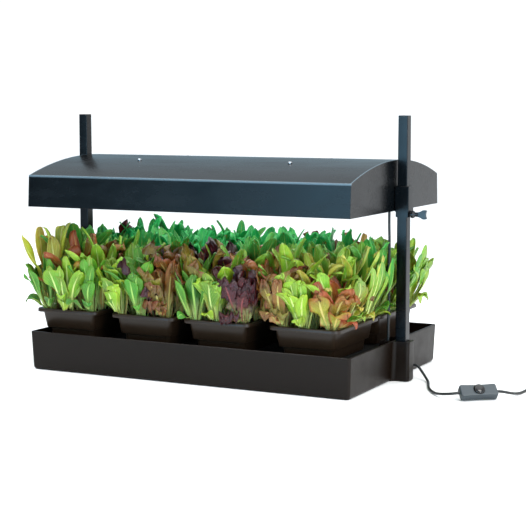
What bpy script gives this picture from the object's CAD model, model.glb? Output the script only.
import math

import bpy
import numpy as np
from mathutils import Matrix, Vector


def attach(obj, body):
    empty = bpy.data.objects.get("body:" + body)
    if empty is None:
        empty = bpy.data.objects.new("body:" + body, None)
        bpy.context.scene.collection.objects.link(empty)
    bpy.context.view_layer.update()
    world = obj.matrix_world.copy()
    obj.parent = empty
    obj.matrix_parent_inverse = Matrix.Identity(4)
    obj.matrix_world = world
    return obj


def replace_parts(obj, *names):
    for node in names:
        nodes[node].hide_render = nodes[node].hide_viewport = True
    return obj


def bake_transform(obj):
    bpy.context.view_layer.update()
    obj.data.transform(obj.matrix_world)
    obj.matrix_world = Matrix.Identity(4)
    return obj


# A tabletop grow-light garden. Metres, +Z up, +X to the end with the mains lead, -Y the front.
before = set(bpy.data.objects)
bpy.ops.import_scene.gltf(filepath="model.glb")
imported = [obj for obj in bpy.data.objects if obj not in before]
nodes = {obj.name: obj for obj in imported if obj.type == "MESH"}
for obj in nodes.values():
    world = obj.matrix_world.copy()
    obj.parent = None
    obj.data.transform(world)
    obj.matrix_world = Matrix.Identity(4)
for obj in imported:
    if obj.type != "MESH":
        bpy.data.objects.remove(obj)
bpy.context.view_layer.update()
TAU = 2 * math.pi

# places that more than one piece uses, as in the CAD
EAVE_Y, EAVE_Z = 0.2175, 0.380  # where the hood's skirt meets its roof
POSTS = (-0.352, 0.352)
DROP_X = 0.3236  # the drop lead, in X
TUBE_Y, TUBE_Z = 0.095, 0.3565
TUBES = (("front", -TUBE_Y), ("rear", TUBE_Y))


# ------------------------------------------------------------------ camera
def make_camera():
    yaw, pitch = math.radians(26.7), math.radians(6.43)
    level = math.cos(pitch)
    forward = Vector((-math.sin(yaw) * level, math.cos(yaw) * level, -math.sin(pitch)))
    data = bpy.data.cameras.new("camera")
    data.sensor_width = 36
    data.lens = 96.6
    camera = bpy.data.objects.new("camera", data)
    camera.location = (1.294, -2.455, 0.517)
    camera.rotation_mode = "QUATERNION"
    camera.rotation_quaternion = forward.to_track_quat("-Z", "Y")
    bpy.context.scene.collection.objects.link(camera)
    bpy.context.scene.camera = camera


# ------------------------------------------------------------------ shader helpers
class Shader:
    """A material's node tree, with short ways to add and join nodes."""

    def __init__(self, name, **fixed):
        self.material = bpy.data.materials.new(name)
        self.material.use_nodes = True
        self.tree = self.material.node_tree
        self.bsdf = self.tree.nodes["Principled BSDF"]
        for socket, value in fixed.items():
            self.bsdf.inputs[socket.replace("_", " ")].default_value = value
        self.place = self.add("ShaderNodeTexCoord").outputs["Object"]

    def add(self, kind, **settings):
        node = self.tree.nodes.new(kind)
        for key, value in settings.items():
            setattr(node, key, value)
        return node

    def feed(self, socket, value):
        if isinstance(value, bpy.types.NodeSocket):
            self.tree.links.new(value, socket)
        else:
            socket.default_value = value

    def noise(self, scale, detail=2.0, roughness=0.5, stretch=None):
        node = self.add("ShaderNodeTexNoise")
        node.inputs["Scale"].default_value = scale
        node.inputs["Detail"].default_value = detail
        node.inputs["Roughness"].default_value = roughness
        place = self.place
        if stretch:
            mapping = self.add("ShaderNodeMapping")
            mapping.inputs["Scale"].default_value = stretch
            self.feed(mapping.inputs["Vector"], place)
            place = mapping.outputs["Vector"]
        self.feed(node.inputs["Vector"], place)
        return node.outputs["Fac"]

    def math(self, operation, a, b=0.0, clamp=False):
        node = self.add("ShaderNodeMath", operation=operation, use_clamp=clamp)
        self.feed(node.inputs[0], a)
        self.feed(node.inputs[1], b)
        return node.outputs[0]

    def remap(self, value, low, high, to_low=0.0, to_high=1.0, smooth=False):
        node = self.add("ShaderNodeMapRange")
        node.interpolation_type = "SMOOTHSTEP" if smooth else "LINEAR"
        for socket, number in zip(node.inputs[1:5], (low, high, to_low, to_high)):
            socket.default_value = number
        self.feed(node.inputs[0], value)
        return node.outputs[0]

    def mix(self, share, a, b, blend="MIX"):
        node = self.add("ShaderNodeMix", data_type="RGBA", blend_type=blend)
        self.feed(node.inputs[0], share)
        self.feed(node.inputs[6], a)
        self.feed(node.inputs[7], b)
        return node.outputs[2]

    def attribute(self, name):
        return self.add("ShaderNodeAttribute", attribute_name=name)

    def bump(self, height, distance, strength):
        node = self.add("ShaderNodeBump")
        node.inputs["Distance"].default_value = distance
        node.inputs["Strength"].default_value = strength
        self.feed(node.inputs["Height"], height)
        return node.outputs["Normal"]

    def finish(self, color, roughness=None, normal=None):
        ends = {"Base Color": color, "Roughness": roughness, "Normal": normal}
        for socket, value in ends.items():
            if value is not None:
                self.feed(self.bsdf.inputs[socket], value)
        return self.material


def rgb(red, green, blue):
    """A linear colour from 0-255 screen values."""
    return tuple((c / 255) ** 2.2 for c in (red, green, blue)) + (1.0,)


def shade(color, gain):
    return tuple(c * gain for c in color[:3]) + (1.0,)


# ------------------------------------------------------------------ materials
def formed_edge(s):
    """Nearness to the hood's eaves, or to its roof's ends, where the sheet is drawn thin and pale."""
    parts = s.add("ShaderNodeSeparateXYZ")
    s.feed(parts.inputs[0], s.place)
    across = s.math("SUBTRACT", s.math("ABSOLUTE", parts.outputs[1]), EAVE_Y)
    up = s.math("SUBTRACT", parts.outputs[2], EAVE_Z)
    distance = s.math("SQRT", s.math("ADD", s.math("POWER", across, 2), s.math("POWER", up, 2)))
    eave = s.remap(distance, 0.0042, 0.0012, smooth=True)
    end = s.remap(s.math("ABSOLUTE", parts.outputs[0]), 0.3355, 0.3375, smooth=True)
    facing = s.add("ShaderNodeSeparateXYZ")
    s.feed(facing.inputs[0], s.add("ShaderNodeTexCoord").outputs["Normal"])
    return s.math("MAXIMUM", eave, s.math("MULTIPLY", end, s.remap(facing.outputs[2], 0.3, 0.6)))


def moulded(name, color, roughness, grain=900, depth=0.00012, specular=0.5, rim=None):
    """Moulded plastic: a fine spark-eroded grain, slow shade changes and faint handling marks."""
    mottle, smear = 0.12, 0.05
    s = Shader(name, Specular_IOR_Level=specular)
    cloud = s.noise(7, 3)
    tone = s.mix(cloud, shade(color, 1 - mottle), shade(color, 1 + mottle))
    fine = s.noise(grain, 2, 0.6)
    tone = s.mix(s.remap(fine, 0.35, 0.65, 0.0, 0.25), tone, shade(color, 1.5))
    if rim:
        tone = s.mix(formed_edge(s), tone, rim)
    marks = s.noise(28, 5, 0.6, stretch=(0.35, 1, 1))
    rough = s.remap(marks, 0.3, 0.7, roughness - smear, roughness + smear)
    return s.finish(tone, rough, s.bump(fine, depth, 0.5))


def gloss(name, color, roughness, specular=0.5, ripple=0.0004):
    """Thin vacuum-formed or polished plastic, with slow ripples and a few scuffs."""
    s = Shader(name, Specular_IOR_Level=specular)
    slow = s.noise(30, 2)
    scuffs = s.noise(260, 6, 0.7, stretch=(1, 0.3, 1))
    tone = s.mix(s.remap(scuffs, 0.5, 0.8), shade(color, 0.92), shade(color, 1.3))
    rough = s.remap(scuffs, 0.35, 0.75, roughness * 0.9, roughness * 1.2)
    return s.finish(tone, rough, s.bump(slow, ripple, 0.4))


def metal(name, color, roughness, brushed=(1, 60, 60), depth=0.00004):
    s = Shader(name, Metallic=1.0)
    lines = s.noise(40, 4, 0.6, stretch=brushed)
    tone = s.mix(lines, shade(color, 0.86), shade(color, 1.06))
    rough = s.remap(lines, 0.3, 0.7, roughness * 0.8, roughness * 1.25)
    return s.finish(tone, rough, s.bump(lines, depth, 0.5))


def painted(name, color, roughness):
    """Powder coat: orange peel over sheet metal."""
    s = Shader(name)
    peel = s.noise(420, 2, 0.5)
    tone = s.mix(s.noise(9, 2), shade(color, 0.95), shade(color, 1.03))
    rough = s.remap(peel, 0.3, 0.7, roughness - 0.04, roughness + 0.06)
    return s.finish(tone, rough, s.bump(peel, 0.00015, 0.5))


def rubber_cord(name, color):
    s = Shader(name, Specular_IOR_Level=0.45)
    flecks = s.noise(600, 3)
    bands = s.noise(45, 2)
    tone = s.mix(bands, shade(color, 0.75), shade(color, 1.35))
    rough = s.remap(flecks, 0.3, 0.7, 0.38, 0.52)
    return s.finish(tone, rough, s.bump(flecks, 0.0001, 0.4))


def felt(name):
    s = Shader(name, Roughness=0.95, Specular_IOR_Level=0.15)
    fibres = s.noise(700, 6, 0.75, stretch=(1, 0.3, 1))
    tone = s.mix(fibres, rgb(9, 9, 9), rgb(30, 30, 29))
    return s.finish(tone, None, s.bump(fibres, 0.0008, 0.9))


def soil(name):
    s = Shader(name, Roughness=0.92, Specular_IOR_Level=0.25)
    crumbs = s.add("ShaderNodeTexVoronoi")
    crumbs.inputs["Scale"].default_value = 320
    s.feed(crumbs.inputs["Vector"], s.place)
    fibre = s.noise(180, 6, 0.7)
    tone = s.mix(fibre, rgb(26, 17, 11), rgb(84, 60, 40))
    height = s.math("ADD", crumbs.outputs["Distance"], fibre)
    return s.finish(tone, None, s.bump(height, 0.0015, 0.9))


def lamp_tube(name):
    """Phosphor-white glass, a little darker where the cathodes are."""
    s = Shader(name, Roughness=0.12, Coat_Weight=0.5)
    along = s.add("ShaderNodeSeparateXYZ")
    s.feed(along.inputs[0], s.place)
    end = s.remap(s.math("ABSOLUTE", along.outputs[0]), 0.235, 0.262, smooth=True)
    powder = s.noise(500, 2)
    white = s.mix(powder, rgb(240, 240, 234), rgb(250, 250, 246))
    return s.finish(s.mix(end, white, rgb(196, 194, 186)))


def leaf_material(name):
    """A leaf: its own colour, a pale midrib, side veins, blisters and uneven pigment."""
    s = Shader(name, Specular_IOR_Level=0.42, Subsurface_Weight=0.12, Subsurface_Scale=0.004)
    spot = s.add("ShaderNodeSeparateXYZ")
    s.feed(spot.inputs[0], s.attribute("leaf_place").outputs["Vector"])
    across = s.math("ABSOLUTE", spot.outputs[0])
    along = spot.outputs[1]
    color = s.attribute("leaf_color").outputs["Color"]
    patches = s.noise(60, 4, 0.6)
    dark = s.mix(1.0, color, (0.5, 0.62, 0.55, 1), "MULTIPLY")
    color = s.mix(s.remap(patches, 0.35, 0.7, 0.0, 0.55), color, dark)
    cells = s.noise(420, 3, 0.6)
    light = s.mix(1.0, color, (1.5, 1.4, 1.3, 1), "MULTIPLY")
    color = s.mix(s.remap(cells, 0.45, 0.75, 0.0, 0.3), color, light)
    slanted = s.math("SUBTRACT", s.math("MULTIPLY", along, 9.0), s.math("MULTIPLY", across, 3.4))
    wander = s.math("MULTIPLY", patches, 0.9)
    wave = s.math("SINE", s.math("MULTIPLY", s.math("ADD", slanted, wander), TAU))
    veins = s.remap(wave, 0.86, 1.0, 0.0, 0.35, smooth=True)
    veins = s.math("MULTIPLY", veins, s.remap(across, 0.95, 0.3, 0.2, 1.0))
    width = s.remap(along, 0.0, 1.0, 0.42, 0.03)
    rib = s.math("SUBTRACT", 1.0, s.math("DIVIDE", across, width), clamp=True)
    rib = s.remap(rib, 0.0, 0.55, smooth=True)
    pale = s.attribute("leaf_rib").outputs["Color"]
    color = s.mix(s.math("MULTIPLY", veins, 0.7), color, pale)
    color = s.mix(s.math("MULTIPLY", rib, s.remap(along, 0.5, 1.0, 0.95, 0.3)), color, pale)
    blister = s.noise(115, 2, 0.5)
    height = s.math("ADD", s.math("MULTIPLY", blister, 1.4), s.math("MULTIPLY", veins, -0.8))
    height = s.math("ADD", height, s.math("MULTIPLY", rib, 0.5))
    rough = s.remap(cells, 0.3, 0.7, 0.34, 0.52)
    return s.finish(color, rough, s.bump(height, 0.0018, 0.75))


LOOKS = {
    "base": moulded("base_plastic", rgb(22, 15, 9), 0.4, 700, 0.00016, 0.16),
    "deck": moulded("deck_plastic", rgb(10, 10, 10), 0.7, specular=0.2),
    "hood": moulded("hood_plastic", rgb(5, 7, 9), 0.26, 1100, 0.00008, 0.24, rim=rgb(84, 98, 106)),
    "post": moulded("post_plastic", rgb(7, 9, 12), 0.26, 1100, 0.00005, 0.2),
    "knob": moulded("knob_plastic", rgb(12, 16, 22), 0.3, 1400, 0.00006),
    "accessory": moulded("accessory_plastic", rgb(48, 56, 60), 0.42, 1300, 0.00008),
    "tray": gloss("tray_plastic", rgb(42, 32, 24), 0.32, 0.28),
    "button": gloss("button_plastic", rgb(12, 13, 15), 0.12, ripple=0.0001),
    "holder": gloss("lampholder_plastic", rgb(236, 236, 230), 0.3),
    "lamp": painted("lamp_white", rgb(232, 233, 232), 0.38),
    "reflector": metal("reflector_aluminium", (0.86, 0.87, 0.88, 1), 0.2, (1, 90, 90)),
    "clip": metal("clip_steel", (0.56, 0.57, 0.59, 1), 0.32, (90, 1, 1)),
    "bolt": metal("bolt_steel", (0.42, 0.43, 0.45, 1), 0.35, (30, 30, 1)),
    "cap": metal("tube_cap", (0.78, 0.78, 0.79, 1), 0.22, (60, 1, 1)),
    "brass": metal("blade_brass", (0.72, 0.6, 0.34, 1), 0.25, (1, 60, 60)),
    "glass": lamp_tube("tube_glass"),
    "cord": rubber_cord("cord_rubber", rgb(20, 24, 25)),
    "felt": felt("capillary_felt"),
    "soil": soil("compost"),
    "leaf": leaf_material("lettuce_leaves"),
}


# ------------------------------------------------------------------ mesh helpers
def new_piece(name, data, body=None, look=None):
    piece = bpy.data.objects.new(name, data)
    bpy.context.scene.collection.objects.link(piece)
    if look:
        data.materials.append(LOOKS[look])
    if body:
        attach(piece, body)
    return piece


def mesh_from(name, points, faces, smooth=True):
    data = bpy.data.meshes.new(name)
    data.from_pydata([tuple(p) for p in points], [], faces)
    data.validate()
    data.polygons.foreach_set("use_smooth", [smooth] * len(data.polygons))
    return data


def stacked_faces(rings, count):
    """Faces between rings of count points each, the first and last closed by a cap."""
    faces = []
    for r in range(rings - 1):
        for i in range(count):
            a, b = r * count + i, r * count + (i + 1) % count
            faces.append((a, b, b + count, a + count))
    faces.append(tuple(range(count - 1, -1, -1)))
    faces.append(tuple(range((rings - 1) * count, rings * count)))
    return faces


def rounded_outline(half_x, half_y, radius, steps=8):
    points = []
    for quarter, (sx, sy) in enumerate([(1, 1), (-1, 1), (-1, -1), (1, -1)]):
        for i in range(steps + 1):
            a = (quarter + i / steps) * TAU / 4
            x = sx * (half_x - radius) + radius * math.cos(a)
            points.append((x, sy * (half_y - radius) + radius * math.sin(a)))
    return points


def turned_mesh(name, profile, origin, axis, segments=48):
    """A solid of revolution: profile points are (radius, distance along the axis)."""
    axis = Vector(axis).normalized()
    side = axis.orthogonal().normalized()
    other = axis.cross(side)
    points = []
    for radius, along in profile:
        for i in range(segments):
            a = i * TAU / segments
            radial = side * math.cos(a) + other * math.sin(a)
            points.append(Vector(origin) + axis * along + radial * radius)
    return mesh_from(name, points, stacked_faces(len(profile), segments))


def smooth_line(points, step=0.004):
    """A Catmull-Rom line through the points, sampled about every step."""
    p = np.array(points, float)
    p = np.vstack([2 * p[0] - p[1], p, 2 * p[-1] - p[-2]])
    line = []
    for i in range(1, len(p) - 2):
        a, b, c, d = p[i - 1 : i + 3]
        count = max(2, int(np.linalg.norm(c - b) / step))
        for t in np.arange(count) / count:
            cubic = (3 * b - a - 3 * c + d) * t**3 + (2 * a - 5 * b + 4 * c - d) * t**2
            line.append(0.5 * (cubic + (c - a) * t + 2 * b))
    line.append(p[-2])
    return np.array(line)


def cable(name, line, diameter, body):
    """A round lead along a line, as a curve."""
    data = bpy.data.curves.new(name, "CURVE")
    data.dimensions = "3D"
    data.bevel_depth = diameter / 2
    data.bevel_resolution = 4
    data.use_fill_caps = True
    spline = data.splines.new("POLY")
    spline.points.add(len(line) - 1)
    spline.points.foreach_set("co", np.hstack([line, np.ones((len(line), 1))]).ravel())
    spline.use_smooth = True
    return new_piece(name, data, body, "cord")


def tube_mesh(name, line, diameter, sides=16):
    """A round lead along a line, as a closed mesh."""
    line = np.array(line, float)
    tangents = np.gradient(line, axis=0)
    points = []
    side = None
    for point, tangent in zip(line, tangents):
        t = Vector(tangent).normalized()
        side = (side - t * side.dot(t)).normalized() if side else t.orthogonal().normalized()
        other = t.cross(side)
        for i in range(sides):
            a = i * TAU / sides
            radial = side * math.cos(a) + other * math.sin(a)
            points.append(Vector(point) + radial * diameter / 2)
    return mesh_from(name, points, stacked_faces(len(line), sides))


def soften(node, look, width, segments):
    """Gives a CAD node its material, joins its flat facets and rounds its edges."""
    node.data.materials.clear()
    node.data.materials.append(LOOKS[look])
    if "custom_normal" in node.data.attributes:
        node.data.attributes.remove(node.data.attributes["custom_normal"])
    node.data.polygons.foreach_set("use_smooth", [True] * len(node.data.polygons))
    weld = node.modifiers.new("weld", "WELD")
    weld.merge_threshold = 0.00002
    plain = node.modifiers.new("flat_faces", "DECIMATE")
    plain.decimate_type = "DISSOLVE"
    plain.angle_limit = math.radians(1)
    bevel = node.modifiers.new("edges", "BEVEL")
    bevel.width = width
    bevel.segments = segments
    bevel.limit_method = "ANGLE"
    bevel.angle_limit = math.radians(32)
    bevel.miter_outer = "MITER_ARC"
    normals = node.modifiers.new("face_normals", "WEIGHTED_NORMAL")
    normals.keep_sharp = True


# ------------------------------------------------------------------ cords
CORD = 0.005
COIL_X, COIL_Y, COIL_RADIUS = 0.628, 0.055, 0.0362
LYING = 0.0026  # height of the lead's middle where it lies on the surface
EXIT = (0.366, 0.027, 0.026)
ROUTE_A = [
    EXIT, (0.370, 0.027, 0.026), (0.376, 0.026, 0.0225), (0.383, 0.0226, 0.016),
    (0.391, 0.0165, 0.0095), (0.400, 0.006, 0.0042), (0.4075, -0.008, 0.0027),
    (0.4145, -0.026, 0.0026), (0.422, -0.046, 0.0026), (0.4305, -0.065, 0.0026),
    (0.4415, -0.0835, 0.0028), (0.455, -0.102, 0.0038), (0.468, -0.116, 0.0062),
    (0.480, -0.1265, 0.009), (0.493, -0.1336, 0.0118), (0.501, -0.1346, 0.0134),
    (0.509, -0.1285, 0.0139),
]
ROUTE_B = [
    (0.563, -0.0857, 0.0139), (0.5705, -0.079, 0.013), (0.577, -0.0695, 0.0102),
    (0.582, -0.057, 0.007), (0.586, -0.042, 0.0042), (0.589, -0.026, 0.0028),
    (0.591, -0.008, 0.0026), (0.592, 0.012, 0.0026), (0.5918, 0.023, 0.0026),
    (0.5914, 0.034, 0.0026),
]
PLUG_END = [(0.66435, 0.042, 0.0083), (0.6644, 0.033, 0.0087), (0.6644, 0.027, 0.0087)]


def coil_points(turns_across=3, per_turn=28):
    """Two layers of turns, wound inwards and then outwards, clockwise from the coil's -X side."""
    pitch, low, high = 0.00525, LYING, 0.0078
    climb = 0.5
    total = 2 * turns_across + climb
    inner = COIL_RADIUS - pitch * turns_across
    points = []
    for i in range(1, int(total * per_turn) + 1):
        t = i / per_turn
        if t <= turns_across:
            radius, z = COIL_RADIUS - pitch * t, low
        elif t <= turns_across + climb:
            share = (t - turns_across) / climb
            radius = inner - 0.00035 * math.sin(math.pi * share)
            z = low + (high - low) * share * share * (3 - 2 * share)
        else:
            radius, z = inner + pitch * (t - turns_across - climb), high
        a = math.pi - TAU * t
        points.append((COIL_X + radius * math.cos(a), COIL_Y + radius * math.sin(a), z))
    return points


def make_mains_lead():
    """From the gland through the switch to the coil and the plug."""
    through = np.linspace(ROUTE_A[-1], ROUTE_B[0], 8)[1:-1].tolist()
    onto_coil = [(COIL_X - COIL_RADIUS, COIL_Y, LYING)]
    route = ROUTE_A + through + ROUTE_B + onto_coil + coil_points() + PLUG_END
    lead = cable("mains_lead", smooth_line(route), CORD, "base")
    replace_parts(lead, "mains_lead_a", "mains_lead_b", "mains_lead_coil")


def make_drop_lead():
    """From the hood's junction block to the duct in the base, stretched as the hood moves."""
    x, top, bottom = DROP_X, 0.3657, 0.062
    heights = np.linspace(top, bottom, 60)
    sway = np.sin((heights - bottom) / (top - bottom) * math.pi) ** 2
    wave = 0.0012 * np.sin(heights * 55) * sway
    drop = np.stack([x + wave * 0.4, wave, heights], 1)
    piece = new_piece("drop_lead", tube_mesh("drop_lead", drop, CORD), None, "cord")
    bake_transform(piece)
    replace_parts(piece, "hood_drop_lead")


def make_held_leads():
    """The link between the lamps, and the run inside the base's duct."""
    near, far = 0.091, 0.075
    link = [(0.3008, -near, 0.383), (0.309, -near, 0.383), (0.319, -far, 0.380)]
    link += [(DROP_X, -0.045, 0.376), (DROP_X, 0, 0.375), (DROP_X, 0.045, 0.376)]
    link += [(x, -y, z) for x, y, z in reversed(link[:3])]
    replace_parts(cable("link_lead", smooth_line(link), CORD, "hood"), "lamp_link_lead")
    duct = [(DROP_X, 0, 0.0617), (DROP_X, 0.0005, 0.05), (0.3226, 0.005, 0.036)]
    duct += [(0.3206, 0.014, 0.028), (0.3221, 0.0225, 0.026), (0.3276, 0.0266, 0.026)]
    duct += [(0.332, 0.027, 0.026)]
    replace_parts(cable("lead_in_duct", smooth_line(duct), CORD, "base"), "duct_lead")


# ------------------------------------------------------------------ growing trays
def tray_rings():
    """Height, half sizes in X and Y and corner radius, from the foot, over the rim, to the floor."""
    z, rim, wall = 0.058, 0.1185, 0.0015
    step = z + 0.021
    return [
        (z, 0.0465, 0.0745, 0.008), (z + 0.0006, 0.0476, 0.0756, 0.0086),
        (z + 0.002, 0.0485, 0.0765, 0.009), (step - 0.0006, 0.05045, 0.07845, 0.01),
        (step, 0.0507, 0.0787, 0.01), (step + 0.0013, 0.0556, 0.0836, 0.0085),
        (step + 0.002, 0.0562, 0.0842, 0.0085), (rim - 0.010, 0.0602, 0.0882, 0.0085),
        (rim - wall - 0.0008, 0.0614, 0.0894, 0.009), (rim - wall, 0.0625, 0.0905, 0.0095),
        (rim - wall, 0.0682, 0.0962, 0.014), (rim - wall - 0.001, 0.0689, 0.0969, 0.0145),
        (rim - 0.0068, 0.0692, 0.0972, 0.0148), (rim - 0.0070, 0.0703, 0.0983, 0.015),
        (rim - 0.0062, 0.0705, 0.0985, 0.015), (rim - 0.0014, 0.0702, 0.0982, 0.015),
        (rim - 0.0004, 0.0698, 0.0978, 0.0148), (rim, 0.0690, 0.0970, 0.0145),
        (rim, 0.0612, 0.0892, 0.009), (rim - 0.0010, 0.0601, 0.0881, 0.0085),
        (step + 0.0032, 0.0546, 0.0826, 0.0085), (step + 0.0016, 0.0495, 0.0775, 0.0095),
        (step + 0.0008, 0.0491, 0.0771, 0.0092), (z + 0.004, 0.0470, 0.0750, 0.008),
        (z + wall, 0.0455, 0.0735, 0.007),
    ]


def make_tray(label, x, y):
    points = []
    for z, half_x, half_y, radius in tray_rings():
        points += [(x + px, y + py, z) for px, py in rounded_outline(half_x, half_y, radius)]
    count = len(rounded_outline(1, 1, 0.1))
    data = mesh_from(f"tray_{label}", points, stacked_faces(len(tray_rings()), count))
    tray = new_piece(f"tray_{label}", data, f"tray_{label}", "tray")
    bevel = tray.modifiers.new("edges", "BEVEL")
    bevel.width = 0.0003
    bevel.limit_method = "ANGLE"
    bevel.angle_limit = math.radians(40)
    bevel.harden_normals = True
    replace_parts(tray, f"growing_tray_{label}")


# ------------------------------------------------------------------ lettuce
# width: half widths from the foot to the tip, which is rounded off from "tip" on
SPOON = dict(
    width=[0.14, 0.16, 0.26, 0.52, 0.84, 1.0, 1.0],
    tip=0.68, ruffle=0.09, waves=5, cup=0.3, lobes=0.03,
)
ROUND = dict(
    width=[0.14, 0.22, 0.46, 0.78, 0.97, 1.05, 1.0],
    tip=0.6, ruffle=0.15, waves=7, cup=0.35, lobes=0.05,
)
FRILLY = dict(
    width=[0.18, 0.26, 0.42, 0.64, 0.86, 1.0, 1.06],
    tip=0.72, ruffle=0.36, waves=11, cup=0.1, lobes=0.1,
)
OAK = dict(
    width=[0.15, 0.18, 0.34, 0.54, 0.76, 0.92, 1.0],
    tip=0.66, ruffle=0.22, waves=7, cup=0.1, lobes=0.3,
)
CURLY = dict(
    width=[0.2, 0.3, 0.5, 0.74, 0.95, 1.05, 1.0],
    tip=0.66, ruffle=0.55, waves=15, cup=0.05, lobes=0.16,
)

LIME, GREEN, TEAL = rgb(142, 180, 34), rgb(74, 136, 26), rgb(30, 154, 74)
YELLOW, BRONZE, WINE = rgb(196, 188, 66), rgb(124, 78, 30), rgb(58, 16, 26)
PINK, PALE, RUST = rgb(200, 108, 84), rgb(206, 216, 130), rgb(150, 70, 34)
# kind: (shapes, blade colours, margin colour, margin strength, rib colour)
KINDS = {
    "lime": ((SPOON, OAK, ROUND), (LIME, GREEN), YELLOW, 0.25, PALE),
    "green": ((SPOON, SPOON, ROUND), (GREEN, rgb(44, 116, 34)), LIME, 0.2, rgb(160, 196, 96)),
    "teal": ((ROUND, FRILLY, SPOON), (TEAL, rgb(26, 144, 54)), rgb(48, 156, 56), 0.3, rgb(88, 178, 92)),
    "yellow": ((SPOON, OAK), (YELLOW, LIME), PINK, 0.4, rgb(226, 224, 150)),
    "bronze": ((FRILLY, OAK, CURLY), (rgb(110, 118, 30), BRONZE), rgb(98, 40, 22), 0.9, rgb(186, 166, 94)),
    "rust": ((FRILLY, OAK), (rgb(146, 146, 44), RUST), rgb(140, 56, 30), 0.95, rgb(206, 182, 104)),
    "wine": ((CURLY, CURLY, FRILLY), (WINE, rgb(84, 26, 32)), rgb(36, 6, 16), 0.85, rgb(132, 66, 66)),
}
DARK_KINDS = ("wine", "rust", "bronze")
LETTERS = {kind[0]: kind for kind in KINDS}
# plants of each tray, front row first, each row from -X to +X
MIX = {
    "front_1": "glg yrl glb ggl tgt",
    "front_2": "lgb lwb gww lgw tgt",
    "front_3": "glw blr wwl lgb tgl",
    "front_4": "blr lyl gly lbl glg",
    "rear_1": "gtg ttg wtt tgt ttt",
    "rear_2": "tgt gtt ttw ttt tgt",
    "rear_3": "tgl ttg tgt ttt ttb",
    "rear_4": "lgl gbl tlg rgl tbl",
}


def leaf_points(rng, form, length, half_width, lean, curl, rows, columns):
    """One leaf's grid of points, growing from the origin and bending towards +X."""
    v = 1 - (1 - np.linspace(0, 1, rows)) ** 1.35
    u = np.linspace(-1, 1, columns)
    bend = lean + curl * v**1.8
    step = np.diff(v) * length
    middle = (bend[1:] + bend[:-1]) / 2
    x = np.concatenate([[0], np.cumsum(np.sin(middle) * step)])
    z = np.concatenate([[0], np.cumsum(np.cos(middle) * step)])
    past_tip = np.clip((v - form["tip"]) / (1 - form["tip"]), 0, 1)
    width = half_width * np.interp(v, np.linspace(0, 1, len(form["width"])), form["width"])
    width = width * np.sqrt(1 - 0.998 * past_tip**2)
    phase = rng.uniform(0, TAU, 4)
    v2, u2 = v[:, None], u[None, :]
    round_margin = np.arctan2(u2 * np.ones_like(v2), (v2 - 0.45) * 1.6)
    lobe = np.sin(0.8 * form["waves"] * round_margin + phase[0])
    across = u2 * width[:, None] * (1 + form["lobes"] * lobe * np.abs(u2) ** 1.5)
    margin = np.maximum(np.abs(u2), past_tip[:, None])
    edge = np.clip((margin - 0.3) / 0.7, 0, 1) ** 1.5 * np.clip(v2 * 2.2, 0, 1)
    ripple = np.sin(form["waves"] * round_margin + phase[1])
    ripple = ripple + 0.5 * np.sin(1.7 * form["waves"] * round_margin + phase[2])
    out = half_width * form["ruffle"] * ripple * edge
    out = out - form["cup"] * np.abs(across) ** 1.7 / half_width**0.7
    out = out + 0.06 * half_width * np.sin(5 * v2 + phase[3] + 3 * u2)
    twist = rng.normal(0, 0.35) * v2
    normal_x, normal_z = np.cos(bend)[:, None], -np.sin(bend)[:, None]
    y = across * np.cos(twist) - out * np.sin(twist)
    off = across * np.sin(twist) + out * np.cos(twist)
    points = np.stack([x[:, None] + off * normal_x, y, z[:, None] + off * normal_z], -1)
    return points, np.broadcast_to(u2, y.shape), np.broadcast_to(v2, y.shape)


def soft_limit(value, low, high, margin):
    """Presses what nears a limit against it, without a hard stop."""
    over = np.clip((value - (high - margin)) / margin, 0, None)
    under = np.clip(((low + margin) - value) / margin, 0, None)
    value = np.where(over > 0, high - margin + margin * np.tanh(over), value)
    return np.where(under > 0, low + margin - margin * np.tanh(under), value)


def keep_clear(points, x, y, radius):
    """Pushes leaves sideways off an upright piece at x, y."""
    d = points[:, :2] - (x, y)
    r = np.linalg.norm(d, axis=1)
    near = r < radius
    points[near, :2] = np.array((x, y)) + d[near] / np.maximum(r[near], 1e-4)[:, None] * radius


def clear_rim(points, x, y):
    """Lifts leaves off their own tray's rim: they only hang lower once they are past it."""
    dx, dy = np.abs(points[:, 0] - x), np.abs(points[:, 1] - y)
    inside = (dx < RIM["inner"][0]) & (dy < RIM["inner"][1])
    over = ~inside & (dx < RIM["outer"][0]) & (dy < RIM["outer"][1])
    points[over, 2] = np.maximum(points[over, 2], RIM["top"])


def clear_hood(points):
    """Keeps leaves below the hood's ends, and its post sleeves, when it is as low as it goes."""
    past = np.clip((np.abs(points[:, 0]) - 0.308) / 0.02, 0, 1)
    sleeve = np.clip((0.06 - np.abs(points[:, 1])) / 0.025, 0, 1)
    top = CROP["top"] - past * (0.0115 + 0.013 * sleeve)
    points[:, 2] = soft_limit(points[:, 2], 0, top, 0.012)


def blend_color(a, b, share):
    """Mixes two colours, either of them one colour or one for each point."""
    a, b = np.array(a)[..., :3], np.array(b)[..., :3]
    return a + (b - a) * np.clip(share, 0, 1)[..., None]


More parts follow.
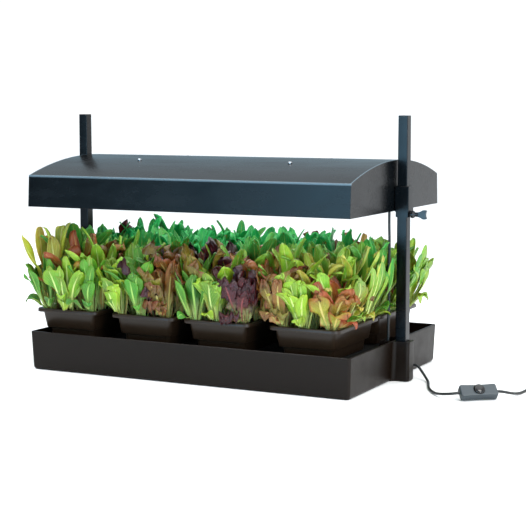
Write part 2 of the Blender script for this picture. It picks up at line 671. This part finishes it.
def leaf_colors(rng, kind, u, v, height, teal):
    """Blade colour at each point: paler at the foot, its own tone above, tinged at the margin."""
    _, (first, second), margin, strength, _ = KINDS[kind]
    own = np.array(first)[:3] + (np.array(second)[:3] - np.array(first)[:3]) * rng.uniform(0, 1)
    own = own * rng.uniform(0.62, 1.08)
    foot = np.clip((v - 0.08) / 0.42, 0, 1) ** 1.2
    color = blend_color(shade(PALE, 0.8), own, 0.12 + 0.88 * foot)
    edge = np.clip((np.maximum(np.abs(u), v * 0.96) - 0.62) / 0.38, 0, 1) ** 1.4
    color = blend_color(color, margin, edge * strength * rng.uniform(0.5, 1.1))
    if rng.random() < 0.16 and kind in ("lime", "yellow", "bronze"):
        color = blend_color(color, PINK, np.clip(0.8 - v, 0, 1) * 0.8)
    if kind in DARK_KINDS:
        return color
    return blend_color(color, TEAL, 0.85 * teal * np.clip((height - 0.185) / 0.06, 0, 1))


CROP = dict(soil=0.106, top=0.287, gap=0.0008, left=-0.364, right=0.344, out_y=0.213)
RIM = dict(top=0.122, inner=(0.0575, 0.0855), outer=(0.0727, 0.1007))
COLUMNS = (-0.2715, -0.099, 0.0595, 0.238)
ROWS = (("front", -0.102), ("rear", 0.103))


def crop_cell(column, row):
    """The space that a tray's leaves keep to, up to the middle of the gap to its neighbours."""
    lows = [CROP["left"]] + [(a + b) / 2 for a, b in zip(COLUMNS, COLUMNS[1:])]
    highs = lows[1:] + [CROP["right"]]
    low, high = lows[column] + CROP["gap"], highs[column] - CROP["gap"]
    near, far = CROP["gap"], CROP["out_y"]
    return (low, high, -far, -near) if row == "front" else (low, high, near, far)


LEAVES = 13  # to a plant
TALLER = {"front_1": 1.1, "rear_1": 1.06, "rear_4": 0.96}


def outer_sides(column, row, px, py):
    """The directions in which a plant stands at the crop's edge."""
    sides = []
    if (column == 0 and px < -0.03) or (column == 3 and px > 0.03):
        sides.append(math.copysign(1, px))
    if (row == "front" and py < -0.06) or (row == "rear" and py > 0.06):
        sides.append(1j * math.copysign(1, py))
    return sides


def plant_leaves(rng, kind, teal, spot, centre, tall, sides):
    """One plant: upright inner leaves, then leaning ones; at the crop's edge the last ones lean over it."""
    made = []
    forms = KINDS[kind][0]
    first = rng.uniform(0, TAU)
    drape = int(rng.integers(1, 3))
    for i in range(LEAVES):
        form = forms[rng.integers(len(forms))]
        share = (i + 0.5) / LEAVES
        frill = form["ruffle"] > 0.2
        length = tall * rng.uniform(0.82, 1.08) * (1.0 - 0.12 * abs(share - 0.4))
        half_width = rng.uniform(0.010, 0.018) * (1.3 if frill else 1.0)
        lean = 0.06 + 0.5 * share**1.3 + rng.normal(0, 0.08)
        curl = rng.uniform(0.1, 0.5) + share * rng.uniform(0.3, 1.3)
        azimuth = first + i * 2.4 + rng.normal(0, 0.25)
        outward = np.array(spot) - centre
        if share > 0.5 and np.linalg.norm(outward) > 0.045:
            azimuth = math.atan2(outward[1], outward[0]) + rng.normal(0, 0.8)
        if sides and i >= LEAVES - 2 - drape:
            side = sides[i % len(sides)]
            azimuth = math.atan2(side.imag, side.real) + rng.normal(0, 0.4)
            if i >= LEAVES - drape:
                length, lean, curl = rng.uniform(0.06, 0.095), rng.uniform(0.4, 0.7), rng.uniform(1.3, 2.1)
            else:
                lean, curl = rng.uniform(0.3, 0.5), rng.uniform(0.4, 1.1)
        rows, columns = (19, 13) if frill else (14, 8)
        points, u, v = leaf_points(rng, form, length, half_width, lean, curl, rows, columns)
        c, s = math.cos(azimuth), math.sin(azimuth)
        start = 0.003 + 0.006 * share
        x, y = points[..., 0] + start, points[..., 1]
        turned = (spot[0] + c * x - s * y, spot[1] + s * x + c * y)
        world = np.stack([*turned, CROP["soil"] + points[..., 2]], -1)
        color = leaf_colors(rng, kind, u, v, world[..., 2], teal)
        made.append((world, u, v, color, KINDS[kind][4], share))
    return made


def crop_leaves(rng, label, column, row, x, y):
    """All the leaves of a tray, from plants on a loose grid."""
    made = []
    for letters, py in zip(MIX[label].split(), np.linspace(-0.077, 0.077, 5)):
        for letter, px in zip(letters, np.linspace(-0.048, 0.048, 3)):
            kind = LETTERS[letter]
            spot = (x + px + rng.normal(0, 0.004), y + py + rng.normal(0, 0.004))
            depth = (spot[1] + 0.2) / 0.4
            teal = np.clip(depth * 1.7 - 0.1, 0, 1) * (0.35 if label == "rear_4" else 0.95)
            front_edge = row == "front" and py < -0.06
            tall = rng.uniform(0.112, 0.142) if front_edge else rng.uniform(0.138, 0.17)
            tall *= TALLER.get(label, 1.0) * (0.93 if kind in DARK_KINDS else 1.0)
            sides = outer_sides(column, row, px, py)
            made += plant_leaves(rng, kind, teal, spot, np.array((x, y)), tall, sides)
    return made


def confine(points, column, row, x, y):
    """Keeps a leaf in its tray's space, off the rims, below the hood and off the posts and drop lead."""
    low_x, high_x, low_y, high_y = crop_cell(column, row)
    points[:, 0] = soft_limit(points[:, 0], low_x, high_x, 0.022)
    points[:, 1] = soft_limit(points[:, 1], low_y, high_y, 0.022)
    points[:, 2] = soft_limit(points[:, 2], 0.092, CROP["top"], 0.012)
    clear_rim(points, x, y)
    clear_hood(points)
    for post in POSTS:
        keep_clear(points, post, 0, 0.024)
    keep_clear(points, DROP_X, 0, 0.015)
    return points


def spans_post(points, shape):
    """Whether a leaf has an edge that crosses a post, with its points pushed to either side of it."""
    grid = points[:, :2].reshape(*shape, 2)
    along = (grid[1:] + grid[:-1]).reshape(-1, 2) / 2
    across = (grid[:, 1:] + grid[:, :-1]).reshape(-1, 2) / 2
    middles = np.concatenate([along, across])
    return any(np.hypot(middles[:, 0] - post, middles[:, 1]).min() < 0.018 for post in POSTS)


def make_crop(label, column, row, x, y, rng):
    leaves = crop_leaves(rng, label, column, row, x, y)
    points, faces, places, colors, ribs = [], [], [], [], []
    start = 0
    for world, u, v, color, rib, share in leaves:
        rows, columns = u.shape
        placed = confine(world.reshape(-1, 3), column, row, x, y)
        if spans_post(placed, u.shape):
            continue
        faces += [
            (start + r * columns + c, start + r * columns + c + 1,
             start + (r + 1) * columns + c + 1, start + (r + 1) * columns + c)
            for r in range(rows - 1) for c in range(columns - 1)
        ]
        start += rows * columns
        points.append(placed)
        places.append(np.stack([u, v, np.full(u.shape, share)], -1).reshape(-1, 3))
        colors.append(color.reshape(-1, 3))
        ribs.append(np.tile(np.array(rib)[:3], (rows * columns, 1)))
    points = np.concatenate(points)
    data = mesh_from(f"lettuce_crop_{label}", points, faces)
    for name, kind, values in (
        ("leaf_place", "FLOAT_VECTOR", np.concatenate(places)),
        ("leaf_color", "FLOAT_COLOR", with_alpha(np.concatenate(colors))),
        ("leaf_rib", "FLOAT_COLOR", with_alpha(np.concatenate(ribs))),
    ):
        attribute = data.attributes.new(name, kind, "POINT")
        field = "color" if kind == "FLOAT_COLOR" else "vector"
        attribute.data.foreach_set(field, values.astype(np.float32).ravel())
    crop = new_piece(f"lettuce_crop_{label}", data, f"tray_{label}", "leaf")
    thick = crop.modifiers.new("thickness", "SOLIDIFY")
    thick.thickness = 0.0005
    thick.offset = 0
    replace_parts(crop, f"lettuce_{label}")


def with_alpha(colors):
    return np.hstack([colors, np.ones((len(colors), 1))])


def make_compost(label, x, y, rng):
    """Crumbly compost that fills the tray to just under its rim."""
    half_x, half_y, columns, rows = 0.0583, 0.0863, 34, 50
    low = 0.0835
    points = []
    for j in range(rows + 1):
        for i in range(columns + 1):
            u, v = 2 * i / columns - 1, 2 * j / rows - 1
            edge = max(abs(u) ** 8, abs(v) ** 8)
            z = CROP["soil"] + 0.002 * (1 - edge) + rng.normal(0, 0.0007)
            points.append((x + u * half_x * 0.985, y + v * half_y * 0.985, z))
    count = len(points)
    points += [(px * 0.93 + x * 0.07, py * 0.95 + y * 0.05, low) for px, py, _ in points]
    width = columns + 1
    faces, under = [], []
    for j in range(rows):
        for i in range(columns):
            a = j * width + i
            faces.append((a, a + 1, a + width + 1, a + width))
            under.append((a + count, a + width + count, a + width + 1 + count, a + 1 + count))
    border = [i for i in range(width)] + [j * width + columns for j in range(1, rows + 1)]
    border += [rows * width + i for i in range(columns - 1, -1, -1)]
    border += [j * width for j in range(rows - 1, 0, -1)]
    sides = [(b, a, a + count, b + count) for a, b in zip(border, border[1:] + border[:1])]
    data = mesh_from(f"compost_{label}", points, faces + under + sides)
    new_piece(f"compost_{label}", data, f"tray_{label}", "soil")


def make_crops():
    rng = np.random.default_rng(20)
    for row, y in ROWS:
        for column, x in enumerate(COLUMNS):
            label = f"{row}_{column + 1}"
            make_tray(label, x, y)
            make_compost(label, x, y, rng)
            make_crop(label, column, row, x, y, rng)


# ------------------------------------------------------------------ round pieces of the lamps and leads
def make_tubes():
    """T5 tubes: coated glass, metal end caps and two contact pins at each end."""
    for label, y in TUBES:
        centre = (0, y, TUBE_Z)
        half, radius = 0.2745, 0.008
        glass = [(0, -half + 0.010), (0.0074, -half + 0.010), (0.0074, half - 0.010), (0, half - 0.010)]
        tube = turned_mesh(f"tube_glass_{label}", glass, centre, (1, 0, 0))
        piece = new_piece(f"tube_{label}", tube, f"tube_{label}", "glass")
        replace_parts(piece, f"t5_tube_{label}")
        for name, side in (("right", 1), ("left", -1)):
            cap = [(0, half - 0.013), (radius, half - 0.013), (radius, half - 0.001)]
            cap += [(radius - 0.001, half), (0, half)]
            data = turned_mesh(f"tube_cap_{label}_{name}", cap, centre, (side, 0, 0))
            new_piece(f"tube_cap_{label}_{name}", data, f"tube_{label}", "cap")
            for pin, offset in (("a", 0.0021), ("b", -0.0021)):
                spot = (side * half, y, TUBE_Z + offset)
                profile = [(0, -0.0005), (0.0010, -0.0005), (0.0010, 0.0044), (0.0005, 0.0049), (0, 0.0049)]
                data = turned_mesh(f"tube_pin_{label}_{name}_{pin}", profile, spot, (side, 0, 0), 16)
                new_piece(data.name, data, f"tube_{label}", "brass")


def make_gland():
    """The ribbed strain relief in the end wall."""
    profile = [(0, -0.0054), (0.0048, -0.0054), (0.0048, 0.0027), (0.0073, 0.0027), (0.0075, 0.0029)]
    profile += [(0.0075, 0.0053), (0.0072, 0.0057), (0.0050, 0.0060)]
    for i in range(9):
        x = 0.0066 + i * 0.0023
        radius = 0.0047 - 0.00014 * i
        waist = radius - 0.0007
        profile += [(radius, x), (radius, x + 0.0011), (waist, x + 0.0013), (waist, x + 0.0021)]
    profile += [(0.0034, 0.0275), (0.0031, 0.028), (0, 0.028)]
    data = turned_mesh("strain_relief", profile, (0.338, 0.027, 0.026), (1, 0, 0), 40)
    piece = new_piece("strain_relief", data, "base", "cord")
    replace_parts(piece, "cord_gland")


def make_button():
    """The round push button of the inline switch, domed, with a finger hollow."""
    normal = Vector((0.4002, -0.5030, 0.7660))
    dome = [(0, -0.001), (0.0024, -0.001), (0.0024, 0.004), (0.0096, 0.004), (0.0100, 0.0044)]
    dome += [(0.0100, 0.0094), (0.0097, 0.0104), (0.0091, 0.0113), (0.0080, 0.0121)]
    dome += [(0.0062, 0.0127), (0.0040, 0.0131), (0.0016, 0.0132), (0, 0.0132)]
    data = turned_mesh("switch_push_button", dome, (0.536, -0.107, 0.0139), normal, 64)
    piece = new_piece("switch_push_button", data, "switch_button", "button")
    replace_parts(piece, "switch_button")


# ------------------------------------------------------------------ carried-over CAD nodes
def finish_nodes():
    both = ("left", "right")
    lamps = ("front", "rear")
    plan = [
        (["base_tray"], "base", 0.0008, 3),
        (["reservoir_deck"], "deck", 0.0005, 2),
        (["capillary_mat"], "felt", 0.0006, 2),
        (["hood_shell"], "hood", 0.0022, 3),
        ([f"post_{e}" for e in both], "post", 0.0006, 2),
        ([f"post_sleeve_{e}" for e in both], "post", 0.0005, 2),
        ([f"clamp_knob_{e}" for e in both], "knob", 0.0005, 2),
        ([f"clamp_screw_{e}" for e in both], "bolt", 0.0002, 1),
        ([f"lamp_housing_{l}" for l in lamps], "lamp", 0.0005, 2),
        ([f"reflector_{l}" for l in lamps], "reflector", 0.0002, 1),
        ([f"lampholder_{l}_{e}" for l in lamps for e in both], "holder", 0.0005, 2),
        ([f"hood_clip_{l}_{e}" for l in lamps for e in both], "clip", 0.0003, 2),
        ([f"hood_bolt_{l}_{e}" for l in lamps for e in both], "bolt", 0.0003, 2),
        (["lead_junction_block", "plug_body"], "accessory", 0.0006, 2),
        (["switch_base", "switch_cover"], "accessory", 0.0004, 2),
        ([f"plug_blade_{e}" for e in both], "brass", 0.0003, 2),
    ]
    for names, look, width, segments in plan:
        for name in names:
            soften(nodes[name], look, width, segments)


# ------------------------------------------------------------------ stage and light
def make_floor():
    """A pale disc that ends 1.7 m in front of the garden."""
    radius, count = 40, 256
    centre = radius - 1.7
    turns = [i * TAU / count for i in range(count)]
    points = [(radius * math.cos(a), centre + radius * math.sin(a), -0.0002) for a in turns]
    floor = new_piece("floor", mesh_from("floor", points, [tuple(range(count))], False))
    s = Shader("floor", Roughness=0.9, Specular_IOR_Level=0.1)
    tone = s.mix(s.noise(1.5, 2), (0.86, 0.86, 0.86, 1), (0.9, 0.9, 0.9, 1))
    floor.data.materials.append(s.finish(tone))


def area_light(name, place, aim, size, power, color=(1, 1, 1), body=None):
    data = bpy.data.lights.new(name, "AREA")
    data.shape = "RECTANGLE"
    data.size, data.size_y = size
    data.energy = power
    data.color = color
    light = bpy.data.objects.new(name, data)
    bpy.context.scene.collection.objects.link(light)
    light.location = place
    light.rotation_mode = "QUATERNION"
    light.rotation_quaternion = (Vector(aim) - Vector(place)).to_track_quat("-Z", "Y")
    light.visible_camera = False
    if body:
        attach(light, body)


def make_world():
    """A white background, and a studio round it.

    It is bluish behind on the left and white on the right. In front it is dim high up, and lower
    down has a blue band that shows on the hood's front.
    """
    world = bpy.data.worlds.new("studio")
    bpy.context.scene.world = world
    world.use_nodes = True
    tree = world.node_tree
    link = tree.links.new

    def add(kind, **settings):
        node = tree.nodes.new(kind)
        for key, value in settings.items():
            setattr(node, key, value)
        return node

    place = add("ShaderNodeTexCoord")
    parts = add("ShaderNodeSeparateXYZ")
    link(place.outputs["Generated"], parts.inputs[0])

    def ramp(socket, low, high):
        node = add("ShaderNodeMapRange", interpolation_type="SMOOTHSTEP")
        node.inputs["From Min"].default_value = low
        node.inputs["From Max"].default_value = high
        link(socket, node.inputs["Value"])
        return node.outputs["Result"]

    def mix(share, a, b):
        node = add("ShaderNodeMix", data_type="RGBA")
        for socket, value in zip((node.inputs[0], node.inputs[6], node.inputs[7]), (share, a, b)):
            if isinstance(value, bpy.types.NodeSocket):
                link(value, socket)
            else:
                socket.default_value = value
        return node.outputs[2]

    across = mix(ramp(parts.outputs[0], -0.55, 0.6), (0.34, 0.5, 0.6, 1), (1.7, 1.7, 1.68, 1))
    bright = mix(ramp(parts.outputs[0], -0.26, 0.0), (4.2, 8.2, 11.4, 1), (1.3, 2.4, 3.2, 1))
    strip = mix(ramp(parts.outputs[0], -0.5, -0.3), (0.02, 0.025, 0.03, 1), bright)
    front = mix(ramp(parts.outputs[2], 0.1, 0.3), strip, (0.12, 0.12, 0.13, 1))
    around = mix(ramp(parts.outputs[1], -0.35, 0.35), front, across)
    light = mix(ramp(parts.outputs[2], 0.15, 0.8), around, (0.9, 0.95, 1.0, 1))
    seen = add("ShaderNodeLightPath").outputs["Is Camera Ray"]
    link(mix(seen, light, (1.05, 1.05, 1.05, 1)), tree.nodes["Background"].inputs["Color"])


def make_light():
    make_world()
    area_light("key", (1.9, -1.1, 1.9), (0.1, 0, 0.15), (1.4, 1.4), 55, (1.0, 0.98, 0.95))
    area_light("top", (-1.3, -0.3, 2.9), (0, 0, 0.3), (2.4, 0.4), 55, (0.93, 0.98, 1.0))
    area_light("side", (1.9, -1.3, 0.3), (0.25, -0.2, 0.08), (0.2, 0.5), 12, (0.94, 0.97, 1.0))
    area_light("fill", (-1.2, -2.6, 1.6), (0, 0, 0.15), (1.4, 1.0), 13, (1.0, 0.93, 0.85))
    sun = bpy.data.lights.new("overhead", "SUN")
    sun.energy = 1.3
    sun.angle = math.radians(60)
    overhead = bpy.data.objects.new("overhead", sun)
    overhead.rotation_euler = (math.radians(-12), 0, 0)
    bpy.context.scene.collection.objects.link(overhead)
    size, power, color = (0.52, 0.1), 0.6, (0.98, 1.0, 1.0)
    for label, y in TUBES:
        area_light(f"lamp_light_{label}", (0, y, 0.343), (0, y, 0), size, power, color, "hood")
    bpy.context.scene.view_settings.view_transform = "Standard"


make_camera()
make_mains_lead()
make_drop_lead()
make_held_leads()
finish_nodes()
make_crops()
make_tubes()
make_gland()
make_button()
make_floor()
make_light()
